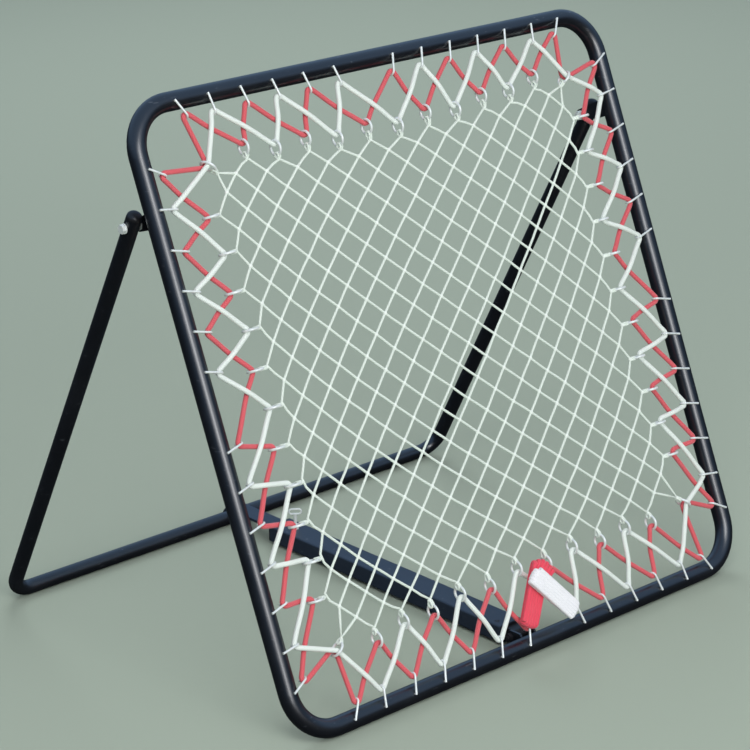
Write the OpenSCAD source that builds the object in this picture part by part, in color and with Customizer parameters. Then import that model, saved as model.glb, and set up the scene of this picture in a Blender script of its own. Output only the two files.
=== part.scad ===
// Pitch back rebounder: a leaning tube frame with a net on two bungee cords,
// a U-shaped rear leg hinged on the side rails, and a sliding strut along the ground.
// Millimetres, +Z up, -Y is the side that the ball comes from.

/* [Frame] */
// Outside width and height of the square frame
frame_size = 1000; // [850:10:1200]
// Outside diameter of the frame tube
tube_d = 30; // [25:1:38]
// Wall of the frame tube
tube_wall = 1.5; // [1.2:0.1:2.5]
// Bend radius of the frame corners, on the centre line
corner_r = 72; // [60:1:90]
// How far the frame leans back from upright, in degrees
lean = 21.45; // [12:0.05:28]

/* [Hooks] */
// Wire diameter of a hook
hook_wire = 3.5; // [3:0.1:4]
// Distance from hook to hook along a rail, on a frame of 1000 mm
hook_pitch = 61.8; // [58:0.1:64]
// Distance of a hook's drilled hole inward from the rail's front line
hook_root = 1.8; // [0:0.1:3]
// Length from a hook's drilled hole to where the cord lies in it
hook_len = 26; // [23:0.5:30]

/* [Net] */
// Distance between two knots across a mesh in the middle of the net, on a frame of 1000 mm
mesh = 59.7; // [57:0.1:61]
// Thickness of the twine
twine = 3.5; // [2.5:0.1:4.2]
// How much the net spreads towards its corners
net_spread = 0.066; // [0.04:0.002:0.08]
// How far the middle of the net lies above the middle of the frame
net_rise = 7; // [3:0.5:9]
// Wire diameter of the net's steel rings
ring_wire = 4.2; // [2.5:0.1:4.5]
// Outside diameter of the net's steel rings
ring_d = 28; // [24:0.5:29]

/* [Cords] */
// Diameter of the bungee cords
cord_d = 8; // [7:0.1:8]
// Least gap between two cords, and between the turns of a hank
cord_gap = 0.5; // [0.45:0.05:0.8]
// Turns in each hank of spare cord
hank_turns = 3; // [2:1:6]
// Length of each hank over all
hank_len = 110; // [90:1:115]

/* [Rear leg] */
// Outside diameter of the leg tube
leg_d = 25; // [22:1:30]
// Wall of the leg tube
leg_wall = 1.5; // [1.2:0.1:2.5]
// How far the centre lines of the legs lie outside those of the side rails
leg_out = 4; // [0:0.5:8]
// Length from the hinge bolt to the middle of the ground bar, on a frame of 1000 mm
leg_len = 837; // [790:1:1005]
// Bend radius of the leg's two corners, on the centre line
leg_bend_r = 38; // [30:1:60]
// Length of tube above the hinge bolt
leg_over = 18; // [14:1:30]
// Height of the hinge bolt above the middle of the frame along the rail, on a frame of 1000 mm
hinge_up = 320; // [250:5:360]
// Distance of the hinge bolt behind the rail's centre line
hinge_back = 62; // [54:1:75]
// Diameter of the hinge bolts
bolt_d = 8; // [6:1:10]

/* [Strut] */
// Width of the box tube
strut_w = 50; // [44:1:60]
// Height of the box tube
strut_h = 30; // [28:1:36]
// Wall of the box tube
strut_wall = 2; // [1.5:0.1:3]
// Height of the flat bar's underside above the strut's middle
bar_rise = 4.8; // [3:0.1:6]
// Front end of the box tube, measured from the bottom rail's centre line
strut_front = 50; // [48:1:60]
// Distance from the rear end of the box tube to the middle of the leg's ground bar
bar_out = 127.2; // [100:0.1:160]
// Width of the flat bar that slides in the box tube
bar_w = 36; // [30:1:42]
// Thickness of the flat bar
bar_t = 5; // [4:0.5:6]
// Length of flat bar inside the box tube
bar_in = 200; // [180:5:260]
// Distance of the clamp screw from the rear end of the box tube
screw_in = 42; // [30:1:60]
// Height of the clamp screw's bow above the box tube
screw_up = 39; // [34:1:42]

/* [Clearances] */
// Radial clearance of a bolt in its hole
bolt_play = 0.05; // [0.03:0.01:0.1]
// Gap between welded, clamped or resting pieces
seat_gap = 0.1; // [0.05:0.01:0.2]
// Gap between a soft or resting piece and what it lies on
rest_gap = 0.3; // [0.25:0.05:0.4]

/* [Hidden] */
$fn = 48;
SIDES = ["top", "left", "bottom", "right"];

steel_black = [0.08, 0.10, 0.14];
strut_blue = [0.14, 0.18, 0.25];
zinc = [0.75, 0.77, 0.78];
cord_red = [0.90, 0.25, 0.30];
cord_white = [0.93, 0.95, 0.90];
net_colour = [0.85, 0.92, 0.85];
plastic_black = [0.04, 0.04, 0.05];

// Frame; the net, the hooks and the leg grow with it
grow = frame_size / 1000;
tube_r = tube_d / 2;
rail = (frame_size - tube_d) / 2;
straight = 2 * (rail - corner_r);

// Hooks
hook_r = hook_wire / 2;
hooks_a_side = 13;
skipped = [7, 6, 7, 7];
hook_shift = [3.5, 9.4, 12.2, 7] * grow;
hook_step = hook_pitch * grow;
hook_clear = 0.35;
hook_n = -(tube_r + hook_clear + hook_r);
cord_r = cord_d / 2;
curl_r = cord_r + hook_r + 0.4;
cord_n = hook_n + curl_r;
curl_turn = 200;
hook_hole_r = hook_r + 0.1;
stub_r = hook_r - 0.1;
stub_in = tube_wall + 3;
hook_tilts = [29, 9, 14.5];

// Net and rings
reach_13 = 13;
half_mesh = mesh * grow / 2;
net_tall = 0.9405;
spread = net_spread * [0.88, 1.12];
ease = [0.044, 0.029];
hang_across = [-3.5, 2.1, 0, 2.8, 5.4] * grow;
hang_up = [net_rise, 4.8, -2, 6.4, 1.7] * grow;
edge_out = [[-3.6, -9.6], [-0.7, -9.2], [3.8, -2.1], [-5.5, -9.7]];
left_slide = 5;
corner_shift = [[-12.4, -10.2], [8.4, -12.3], [3.8, -4.6], [2.8, -5.4]];
twine_r = twine / 2;
ring_r = ring_wire / 2;
ring_mid = (ring_d - ring_wire) / 2;
rings_a_side = 11;
merged_cells = [[12, 12], [12, 10], [10, 12], [10, 10]];
red_tie = [9, 5];
white_tie = [5.5, 1];
corner_tie = 5;

// Cords
cord_off = (cord_d + cord_gap) / 2;
bend_gap = 0.3;
cord_sides = 8;
hank_sides = 6;
hank_rings = 24;
hank_pitch = cord_d + 0.6;
hank_end_r = hank_pitch / 2;
hank_thick = 2 * hank_end_r + cord_d;
hank_straight = hank_len - 2 * (hank_end_r + cord_r);

// Rear leg and its hinge
leg_r = leg_d / 2;
leg_x = rail + leg_out;
bolt_r = bolt_d / 2;
washer_t = 1.6;
washer_r = 2 * bolt_r;
bracket_t = 4.5;
bracket_in = leg_x - leg_r - washer_t - 2 * seat_gap - bracket_t;
bracket_r = 10.5;
bracket_base = 28;
hex_af = 1.625 * bolt_d;
head_h = 0.66 * bolt_d;
nut_h = 0.81 * bolt_d;
hinge_at = hinge_up * grow;
leg_to_bar = leg_len * grow;
hinge_y = (rail + hinge_at) * sin(lean) + hinge_back * cos(lean);
hinge_z = (rail + hinge_at) * cos(lean) - hinge_back * sin(lean) + tube_r;
leg_drop = hinge_z - leg_r;
leg_reach = sqrt(leg_to_bar * leg_to_bar - leg_drop * leg_drop);
leg_angle = atan2(leg_reach, leg_drop);
cap_r = leg_r - 0.3;
cap_dome = 8;
cap_skirt = 9;

// Strut
bar_y = hinge_y + leg_reach;
strut_rear = bar_y - bar_out;
bar_z = leg_r;
lip_r = leg_r + rest_gap;
bar_under = leg_d + rest_gap;
strut_z = bar_under - bar_rise;
pivot_y = tube_r + 17.5;
tongue_w = 26;
tongue_h = 20;
lug_t = 4;
lug_r = 11;
plug_len = 38;
lip_low = 3;
screw_y = strut_rear - screw_in;
screw_r = 3;
bow_r = 4.4;
bow_half = 6.3;
bow_turn = -39;
bow_wire = 1.7;

// The model's origin lies under the middle of its box
front_reach = 40.7;
y_mid = (bar_y + lip_r + bar_t - front_reach) / 2;

// ---------- places ----------

// children lie in the leaning frame: x across, y backwards, z up the frame from its middle
module on_frame() {
    translate([0, -y_mid, tube_r])
        rotate([-lean, 0, 0])
            translate([0, 0, rail]) children();
}

// children lie on the ground, measured from under the bottom rail's centre line
module on_ground() {
    translate([0, -y_mid, 0]) children();
}

// a rod, or a hole, along X from x0 to x1
module x_rod(x0, x1, r) {
    translate([x0, 0, 0]) rotate([0, 90, 0]) cylinder(h = x1 - x0, r = r);
}

// a hexagonal prism along X
module x_hex(x0, h, across_flats) {
    translate([x0, 0, 0]) rotate([0, 90, 0]) cylinder(h = h, r = across_flats / sqrt(3), $fn = 6);
}

function unit(v) = v / norm(v);

// point on a side: along it (anticlockwise as seen from the front) and inward from the rail
function on_side(side, along, depth) =
    side == 0 ? [-along, rail - depth] :
    side == 1 ? [depth - rail, -along] :
    side == 2 ? [along, depth - rail] : [rail - depth, along];

// how far each side's own direction is turned from the bottom side's, seen along +Y
side_turn = [180, 90, 0, -90];

// ---------- net ----------

// where a knot lies: x and y count half meshes from the middle
function net_at(x, y) =
    let (p = x / reach_13, q = y / reach_13)
    [half_mesh * x * (1 + spread[0] * q * q - ease[0] * p * p)
        + hang_across * [1, q, p * q, p * p, q * q],
    half_mesh * net_tall * y * (1 + spread[1] * p * p - ease[1] * q * q)
        + hang_up * [1, p, p * q, p * p, q * q]];

function is_edge(a) = abs(a) == reach_13;

// the corner knots gather two knots of the mesh in one
function knot(x, y) =
    abs(x) >= 12 && abs(y) >= 12
        ? net_at(sign(x) * 12.5, sign(y) * 12.5)
            + corner_shift[y > 0 ? (x > 0 ? 0 : 1) : (x > 0 ? 3 : 2)] * grow :
    net_at(x, y) + (
        is_edge(y) ? [0, edge_out[y > 0 ? 0 : 2][pulled(x)] * sign(y)] :
        is_edge(x) ? [edge_out[x > 0 ? 3 : 1][pulled(y)] * sign(x), x > 0 ? 0 : -left_slide] : [0, 0]);

// red rings pull their knots outwards, white ones let them lie further in
function pulled(a) = (abs(a / 2) % 2 == 1) ? 0 : 1;

function side_knot(side, q) =
    let (a = 2 * (q - 5))
    side == 0 ? knot(-a, reach_13) :
    side == 1 ? knot(-reach_13, -a) :
    side == 2 ? knot(a, -reach_13) : knot(reach_13, a);

side_in = [[0, -1], [1, 0], [0, 1], [-1, 0]];
corner_out = [[1, 1], [-1, 1], [-1, -1], [1, -1]];

function is_red(q) = q % 2 == 0;
function tie(q) =
    let (t = is_red(q) ? red_tie : white_tie)
    t[0] - t[1] * pow((q - 5) / 5, 2);

// middles of the rings, and of the corner ring that stands before each side
function ring_at(side, q) = side_knot(side, q) - side_in[side] * (tie(q) + ring_mid);
function corner_knot(side) = knot(corner_out[side][0] * 12, corner_out[side][1] * 12);
function corner_ring_at(side) = corner_knot(side) + unit(corner_out[side]) * (corner_tie + ring_mid);

// offset of a closed outline: each edge moves to its left by d
function moved_edge(a, b, d) = let (t = unit(b - a), m = [-t[1], t[0]] * d) [a + m, t];
function meet(p, q) =
    let (s = p[1][0] * q[1][1] - p[1][1] * q[1][0], w = q[0] - p[0])
    p[0] + p[1] * ((w[0] * q[1][1] - w[1] * q[1][0]) / s);
function inset(pts, d) =
    let (n = len(pts))
    [for (i = [0:n - 1])
        meet(moved_edge(pts[(i + n - 1) % n], pts[i], d), moved_edge(pts[i], pts[(i + 1) % n], d))];
function anticlockwise(pts) =
    let (n = len(pts), area = [for (i = [0:n - 1]) cross(pts[i], pts[(i + 1) % n])] * [for (i = [0:n - 1]) 1])
    area > 0 ? pts : [for (i = [n - 1:-1:0]) pts[i]];

function has(list, v) = len([for (e = list) if (e == v) 1]) > 0;
function cell_knots(x, y) =
    abs(x) == 12 && abs(y) == 12
        ? [knot(x, y), knot(x - sign(x), y), knot(x, y - sign(y))]
        : [knot(x + 1, y), knot(x, y + 1), knot(x - 1, y), knot(x, y - 1)];

// near each corner four pairs of meshes share one gap, which keeps the net to 297 gaps
function pair_knots(x, y) =
    let (i = sign(x), j = sign(y),
        inner = [knot(x - i, y), knot(x - 2 * i, y - j), knot(x - i, y - 2 * j), knot(x, y - j)])
    abs(x) == 12 && abs(y) == 12
        ? concat([knot(x, y)], inner)
        : concat([knot(x + i, y), knot(x, y + j)], inner);

cells = [
    for (x = [-12:12], y = [-12:12])
        let (at = [abs(x), abs(y)])
        if ((x + y) % 2 == 0 && !has(merged_cells, at + [1, 1]))
            inset(anticlockwise(has(merged_cells, at) ? pair_knots(x, y) : cell_knots(x, y)), twine_r)];

// the outer edge, with a short tail of twine from each knot to its ring
function tail(p, out, len) =
    let (side = [out[1], -out[0]] * twine_r)
    [p + side + out * twine_r, p + side + out * len, p - side + out * len, p - side + out * twine_r];
function side_rim(side) = [
    for (q = [0:rings_a_side])
        let (a = 2 * (q - 5) - 1)
        each concat(
            [rim_point(side, a)],
            q < rings_a_side
                ? tail(side_knot(side, q), -side_in[side], tie(q) - ring_r - rest_gap)
                : [])];
function rim_point(side, a) =
    let (p = side == 0 ? knot(-a, 12) : side == 1 ? knot(-12, -a) : side == 2 ? knot(a, -12) : knot(12, a))
    p - side_in[side] * twine_r * sqrt(2);
rim = [
    for (side = [0:3])
        each concat(
            tail(corner_knot(side), unit(corner_out[side]), corner_tie - ring_r - rest_gap),
            side_rim(side))];

// ---------- routes of the bungee cords ----------

function hook_along(side, rank) =
    ((rank < skipped[side] ? rank : rank + 1) - hooks_a_side / 2) * hook_step + hook_shift[side];
function hook_angle(side, rank) =
    hook_tilts[min(rank, hooks_a_side - 1 - rank, 2)] * sign(hook_along(side, rank));

// what a cord bends round: [middle of the wire, how far from it the cord runs, 1 if it lies on the left]
function hook_post(side, rank) =
    let (a = hook_angle(side, rank), far = hook_len + curl_r)
    [on_side(side, hook_along(side, rank) - far * sin(a), hook_root + far * cos(a)),
        cord_r + hook_r + bend_gap, 1];
function ring_post(side, q) =
    [ring_at(side, q) - side_in[side] * ring_mid, cord_r + ring_r + bend_gap, -1];
// both cords share a corner ring, one behind the other, so they run nearer to its middle
function corner_post(side) =
    [corner_ring_at(side) + unit(corner_out[side]) * ring_mid, ring_mid - corner_in, -1];
corner_in = sqrt(pow(ring_mid - ring_r - cord_r - bend_gap, 2) - cord_off * cord_off);

// direction of the straight run that passes two posts, and its distance from each
function turn_left(v) = [-v[1], v[0]];
function run(a, b) =
    let (d = b[0] - a[0], s = (b[2] * b[1] - a[2] * a[1]) / norm(d), c = sqrt(1 - s * s))
    unit(d * c - turn_left(d) * s);
function beside(post, dir) = post[0] - turn_left(dir) * post[1] * post[2];

// the two corners of a cord that turns round post b on its way from a to c
function bend(a, b, c) =
    let (t0 = run(a, b), t1 = run(b, c), t = unit(t0 + t1), flat = [beside(b, t), t])
    [meet([beside(b, t0), t0], flat), meet(flat, [beside(b, t1), t1])];

// the order of the posts on each cord, from one corner ring to the next
red_count = 14;
white_count = 12;
function red_post(side, i) =
    i == 0 ? corner_post(side) : i == red_count ? corner_post((side + 1) % 4) :
    i < 0 ? hook_post((side + 3) % 4, 12) :
    i % 2 == 1 ? hook_post(side, i - 1) : ring_post(side, i - 2);
function white_post(side, i) =
    i == 0 ? corner_post(side) : i == white_count ? corner_post((side + 1) % 4) :
    i < 0 ? hook_post((side + 3) % 4, 11) :
    i % 2 == 1 ? hook_post(side, i) : ring_post(side, i - 1);

// where the red run after post i meets the white run before post i
function line(a, b) = [beside(a, run(a, b)), run(a, b)];
function crossing(side, i) = meet(
    line(red_post(side, i), red_post(side, i + 1)),
    line(white_post(side, i - 1), white_post(side, i)));
function lift(p, n) = [p[0], p[1], n];
red_n = cord_n + cord_off;
white_n = cord_n - cord_off;

// a cord lies in the middle of its hooks and rings, and the red passes behind the white
function red_side(side) = [
    for (i = [0:red_count - 1]) each concat(
        [for (p = bend(red_post(side, i - 1), red_post(side, i), red_post(side, i + 1)))
            lift(p, i == 0 ? red_n : cord_n)],
        i > 0 && i < red_count - 1 ? [lift(crossing(side, i), red_n)] : [])];
function white_side(side) = [
    for (i = [0:white_count - 1]) each concat(
        [for (p = bend(white_post(side, i - 1), white_post(side, i), white_post(side, i + 1)))
            lift(p, i == 0 ? white_n : cord_n)],
        [lift(crossing(side, i + 1), white_n)])];

// ---------- tubes that follow a route ----------

// corners of the tube's section at p, square to the middle of its two directions;
// flat is a direction that the section keeps to, and the section widens in a mitre
function section(before, p, after, r, sides, flat, mitre) =
    let (t0 = unit(p - before), t1 = unit(after - p), t = unit(t0 + t1), m = unit(cross(t, flat)),
        k = cross(m, t), wide = mitre ? 1 / sqrt((1 + t0 * t1) / 2) : 1)
    [for (i = [0:sides - 1])
        let (a = 360 * (i + 0.5) / sides) p + (m * cos(a) * wide + k * sin(a)) * r];

function tube_faces(rings, sides, closed) = concat(
    [for (i = [0:rings - (closed ? 1 : 2)], j = [0:sides - 1])
        let (a = i * sides + j, b = i * sides + (j + 1) % sides, n = rings * sides)
        each [[a, b, (b + sides) % n], [a, (b + sides) % n, (a + sides) % n]]],
    closed ? [] : [for (j = [1:sides - 2]) [0, j + 1, j]],
    closed ? [] : [for (j = [1:sides - 2]) let (e = (rings - 1) * sides) [e, e + j, e + j + 1]]);

// routes are held as [across, up, back]; a mesh point is [across, back, up]
function turned(points) = [for (p = points) [p[0], p[2], p[1]]];

module closed_cord(route) {
    n = len(route);
    points = [for (i = [0:n - 1])
        let (before = route[(i + n - 1) % n], after = route[(i + 1) % n])
        each section(before, route[i], after, cord_r, cord_sides, [0, 0, 1], true)];
    polyhedron(points = turned(points), faces = tube_faces(n, cord_sides, true));
}

// ---------- hanks ----------

// one turn of a hank: up the front, over the end, down the back and round the other end
function hank_point(i) =
    let (s = i % hank_rings, w = hank_pitch * (i / hank_rings - hank_turns / 2),
        h = hank_straight / 2, step = hank_straight / 4)
    s < 4 ? [w, -h + s * step, -hank_end_r] :
    s < 12 ? let (a = (s - 4) * 22.5) [w, h + hank_end_r * sin(a), -hank_end_r * cos(a)] :
    s < 16 ? [w, h - (s - 12) * step, hank_end_r] :
    let (a = (s - 16) * 22.5) [w, -h - hank_end_r * sin(a), hank_end_r * cos(a)];

hank_count = hank_turns * hank_rings + 4;
hank_body = [for (i = [0:hank_count]) hank_point(i)];
hank_route = concat(
    [hank_body[0] - [0, cord_d, 0]],
    hank_body,
    [hank_body[hank_count] + [0, cord_d, 0]]);

// least gap between two turns, measured on the points of the route
hank_gap = min([
    for (i = [0:hank_count], j = [0:hank_count])
        if (j - i > 12) norm(hank_body[i] - hank_body[j])]) - cord_d;
echo(least_gap_in_a_hank = hank_gap);

module hank() {
    n = len(hank_route);
    points = [for (i = [0:n - 1])
        let (p = hank_route[i],
            a = i == 0 ? 2 * p - hank_route[1] : hank_route[i - 1],
            b = i == n - 1 ? 2 * p - hank_route[n - 2] : hank_route[i + 1])
        each section(a, p, b, cord_r, hank_sides, [1, 0, 0], false)];
    polyhedron(points = turned(points), faces = tube_faces(n, hank_sides, false));
}

// ---------- pieces of the frame ----------

module frame_bar(r) {
    for (side = [0:3])
        rotate([0, side * 90, 0])
            translate([-straight / 2, 0, -rail]) {
                x_rod(0, straight, r);
                translate([straight, 0, corner_r])
                    rotate([90, 0, 0]) rotate([0, 0, -90])
                        rotate_extrude(angle = 90) translate([corner_r, 0]) circle(r);
            }
}

// children stand at every hook of a side: x along the rail, z inward, y backwards
module at_hooks(side) {
    for (rank = [0:hooks_a_side - 1])
        rotate([0, side_turn[side], 0])
            translate([hook_along(side, rank), 0, -rail + hook_root])
                rotate([0, -hook_angle(side, rank), 0]) children();
}

module main_frame() {
    color(steel_black) on_frame() difference() {
        frame_bar(tube_r);
        frame_bar(tube_r - tube_wall);
        for (side = [0:3])
            at_hooks(side) translate([0, -tube_r - 1, 0])
                rotate([-90, 0, 0]) cylinder(h = tube_r, r = hook_hole_r, $fn = 24);
    }
}

module hook() {
    translate([0, hook_n, 0]) rotate([-90, 0, 0])
        cylinder(h = -hook_n - tube_r + stub_in, r = stub_r, $fn = 24);
    translate([0, hook_n, -hook_r]) cylinder(h = hook_len + hook_r, r = hook_r, $fn = 24);
    translate([0, cord_n, hook_len]) rotate([0, -90, 0]) rotate([0, 0, -90])
        rotate_extrude(angle = curl_turn, $fn = 32)
            translate([curl_r, 0]) circle(hook_r, $fn = 24);
}

module hooks(side) {
    color(zinc) on_frame() at_hooks(side) hook();
}

module steel_ring() {
    rotate_extrude($fn = 32) translate([ring_mid, 0]) circle(ring_r, $fn = 20);
}

module net_rings(side) {
    color(zinc) on_frame()
        for (q = [0:rings_a_side - 1])
            let (c = ring_at(side, q))
            translate([c[0], cord_n, c[1]]) rotate([0, side_turn[side], 0]) rotate([0, 90, 0]) steel_ring();
}

module corner_rings() {
    color(zinc) on_frame()
        for (side = [0:3])
            let (c = corner_ring_at(side), o = corner_out[side])
            translate([c[0], cord_n, c[1]]) rotate([0, -atan2(o[1], o[0]), 0]) steel_ring();
}

module net() {
    points = concat(rim, [for (c = cells) each c]);
    counts = concat([len(rim)], [for (c = cells) len(c)]);
    starts = [for (i = 0, s = 0; i < len(counts); s = s + counts[i], i = i + 1) s];
    color(net_colour) on_frame()
        translate([0, cord_n + twine_r, 0]) rotate([90, 0, 0])
            linear_extrude(twine)
                polygon(points, [for (k = [0:len(counts) - 1]) [for (j = [0:counts[k] - 1]) starts[k] + j]]);
}

module red_bungee() {
    color(cord_red) on_frame() closed_cord([for (side = [0:3]) each red_side(side)]);
}

module white_bungee() {
    color(cord_white) on_frame() closed_cord([for (side = [0:3]) each white_side(side)]);
}

// ---------- spare cord ----------

hank_nest = 0.8;
red_hank_back = white_n - cord_r * (cos(180 / cord_sides) + cos(180 / hank_sides) - 1) - rest_gap + hank_nest;
// the red hank hangs before the crossing of the cords on its right, and the white one before the red
hank_crossing = crossing(2, 7);
red_hank_at = [hank_crossing[0] - 31.3329, red_hank_back - hank_thick / 2, hank_crossing[1] - 5.635];
red_hank_turn = 33.3;
white_hank_at = red_hank_at + [28.2, 0.7 - hank_thick, -7.8];
white_hank_turn = -38.6;

module red_hank() {
    color(cord_red) on_frame() translate(red_hank_at) rotate([0, red_hank_turn, 0]) hank();
}

module white_hank() {
    color(cord_white) on_frame()
        translate(white_hank_at) rotate([0, white_hank_turn, 0]) hank();
}

// ---------- hinge of the rear leg ----------

module at_hinge() {
    on_frame() translate([0, hinge_back, hinge_at]) children();
}

// a plate welded on the rail's back, drawn for the side of +X
module leg_bracket() {
    difference() {
        on_frame() translate([bracket_in, 0, hinge_at]) rotate([90, 0, 90]) linear_extrude(bracket_t)
            difference() {
                union() {
                    polygon([
                        [0, -bracket_base / 2], [tube_r + 4, -bracket_base / 2],
                        [hinge_back, -bracket_r], [hinge_back, bracket_r],
                        [tube_r + 4, bracket_base / 2], [0, bracket_base / 2]]);
                    translate([hinge_back, 0]) circle(bracket_r);
                }
                translate([hinge_back, 0]) circle(bolt_r + bolt_play);
            }
        on_frame() translate([rail, 0, hinge_at - bracket_base])
            cylinder(h = 2 * bracket_base, r = tube_r + seat_gap);
    }
}

module left_leg_bracket() {
    color(steel_black) mirror([1, 0, 0]) leg_bracket();
}

module right_leg_bracket() {
    color(steel_black) leg_bracket();
}

bolt_out = leg_x + leg_r + seat_gap + washer_t + seat_gap;
nut_in = bracket_in - seat_gap - washer_t - seat_gap - nut_h;

module leg_bolts() {
    color(zinc) for (s = [0, 1]) mirror([s, 0, 0]) at_hinge() {
        x_rod(nut_in - 3.5, bolt_out + 1, bolt_r);
        x_hex(bolt_out, head_h, hex_af);
    }
}

module leg_nuts() {
    color(zinc) for (s = [0, 1]) mirror([s, 0, 0]) at_hinge() difference() {
        x_hex(nut_in, nut_h, hex_af);
        x_rod(nut_in - 1, nut_in + nut_h + 1, bolt_r + bolt_play);
    }
}

module leg_washers() {
    places = [leg_x + leg_r + seat_gap, bracket_in + bracket_t + seat_gap, bracket_in - seat_gap - washer_t];
    color(zinc) for (s = [0, 1], x = places) mirror([s, 0, 0]) at_hinge() difference() {
        x_rod(x, x + washer_t, washer_r);
        x_rod(x - 1, x + washer_t + 1, bolt_r + bolt_play);
    }
}

// ---------- rear leg ----------

// children hang from the hinge line, with -Z along the legs
module at_leg() {
    translate([0, hinge_y - y_mid, hinge_z]) rotate([leg_angle, 0, 0]) children();
}

module leg_tube(r) {
    side_len = leg_to_bar - leg_bend_r + leg_over;
    for (s = [0, 1]) mirror([s, 0, 0]) {
        translate([leg_x, 0, leg_bend_r - leg_to_bar]) cylinder(h = side_len, r = r);
        translate([leg_x - leg_bend_r, 0, leg_bend_r - leg_to_bar])
            rotate([90, 0, 0]) rotate([0, 0, -90])
                rotate_extrude(angle = 90) translate([leg_bend_r, 0]) circle(r);
    }
    translate([0, 0, -leg_to_bar]) x_rod(leg_bend_r - leg_x, leg_x - leg_bend_r, r);
}

module rear_leg() {
    color(steel_black) at_leg() difference() {
        leg_tube(leg_r);
        leg_tube(leg_r - leg_wall);
        for (s = [0, 1]) mirror([s, 0, 0]) x_rod(leg_x - leg_d, leg_x + leg_d, bolt_r + bolt_play);
    }
}

module leg_caps() {
    plug_r = leg_r - leg_wall - seat_gap;
    color(plastic_black) for (s = [0, 1]) mirror([s, 0, 0]) at_leg()
        translate([leg_x, 0, leg_over + seat_gap])
            rotate_extrude() {
                translate([0, -cap_skirt]) square([plug_r, cap_skirt + 1]);
                square([cap_r, 2]);
                intersection() {
                    translate([0, 2]) scale([1, cap_dome / cap_r]) circle(cap_r);
                    square([cap_r, cap_dome + 2]);
                }
            }
}

// ---------- strut ----------

// children's origin is the strut's front pivot
module at_pivot() {
    on_ground() translate([0, pivot_y, strut_z]) children();
}

module box_outline(w, h, r) {
    square([w - 2 * r, h], center = true);
    square([w, h - 2 * r], center = true);
    for (x = [-1, 1], y = [-1, 1]) translate([x * (w / 2 - r), y * (h / 2 - r)]) circle(r);
}

// extrudes a section drawn as [x, z] along +Y, from y0 to y1
module along_y(y0, y1) {
    translate([0, y1, 0]) rotate([90, 0, 0]) linear_extrude(y1 - y0) children();
}

lug_in = tongue_w / 2 + rest_gap;

module strut_bracket() {
    color(steel_black) on_ground() difference() {
        for (s = [0, 1]) mirror([s, 0, 0])
            translate([lug_in, 0, 0]) rotate([90, 0, 90]) linear_extrude(lug_t) difference() {
                union() {
                    polygon([
                        [0, strut_z - lug_r], [pivot_y, strut_z - lug_r],
                        [pivot_y, strut_z + lug_r], [tube_r - 3, strut_z + lug_r], [0, tube_r]]);
                    translate([pivot_y, strut_z]) circle(lug_r);
                }
                translate([pivot_y, strut_z]) circle(bolt_r + bolt_play);
            }
        translate([0, 0, tube_r]) x_rod(-strut_w, strut_w, tube_r + seat_gap);
    }
}

pivot_head = lug_in + lug_t + seat_gap;

module strut_pivot_bolt() {
    color(zinc) at_pivot() {
        x_rod(-pivot_head - nut_h - 3, pivot_head + 1, bolt_r);
        x_hex(pivot_head, head_h, hex_af);
    }
}

module strut_pivot_nut() {
    color(zinc) at_pivot() difference() {
        x_hex(-pivot_head - nut_h, nut_h, hex_af);
        x_rod(-pivot_head - nut_h - 1, -pivot_head + 1, bolt_r + bolt_play);
    }
}

module rivet_places() {
    for (x = [-1, 1])
        on_ground() translate([x * strut_w / 4, strut_front + plug_len / 2, strut_z]) children();
}

module strut_box_tube() {
    color(strut_blue) difference() {
        on_ground() translate([0, 0, strut_z]) along_y(strut_front, strut_rear) difference() {
            box_outline(strut_w, strut_h, 3);
            box_outline(strut_w - 2 * strut_wall, strut_h - 2 * strut_wall, 1);
        }
        rivet_places() translate([0, 0, -strut_h]) cylinder(h = 2 * strut_h, r = 2.6);
        on_ground() translate([0, screw_y, strut_z]) cylinder(h = strut_h, r = screw_r + 0.4);
    }
}

module strut_end_fitting() {
    w = strut_w - 2 * strut_wall - 2 * seat_gap;
    h = strut_h - 2 * strut_wall - 2 * seat_gap;
    color(plastic_black) difference() {
        union() {
            at_pivot() x_rod(-tongue_w / 2, tongue_w / 2, tongue_h / 2);
            on_ground() translate([0, 0, strut_z]) along_y(pivot_y, strut_front + 1)
                square([tongue_w, tongue_h], center = true);
            on_ground() translate([0, 0, strut_z]) along_y(strut_front + seat_gap, strut_front + plug_len)
                box_outline(w, h, 1);
        }
        at_pivot() x_rod(-tongue_w, tongue_w, bolt_r + bolt_play);
        rivet_places() translate([0, 0, -strut_h]) cylinder(h = 2 * strut_h, r = 2.6);
    }
}

module strut_rivets() {
    color(strut_blue) rivet_places() {
        translate([0, 0, -strut_h / 2 - 1]) cylinder(h = strut_h + 2, r = 2.5);
        for (s = [0, 1]) mirror([0, 0, s])
            translate([0, 0, strut_h / 2 + seat_gap]) cylinder(h = 1.8, r1 = 4.5, r2 = 3.2);
    }
}

module strut_guide_bush() {
    w = strut_w - 2 * strut_wall - 2 * seat_gap;
    h = strut_h - 2 * strut_wall - 2 * seat_gap;
    color(plastic_black) on_ground() difference() {
        translate([0, 0, strut_z]) union() {
            along_y(strut_rear - 22, strut_rear + seat_gap + 1) box_outline(w, h, 1);
            along_y(strut_rear + seat_gap, strut_rear + 3) box_outline(strut_w, strut_h, 3);
        }
        translate([0, 0, bar_under + bar_t / 2]) along_y(strut_rear - 30, strut_rear + 10)
            square([bar_w + 2 * rest_gap, bar_t + 2 * rest_gap], center = true);
    }
}

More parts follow.
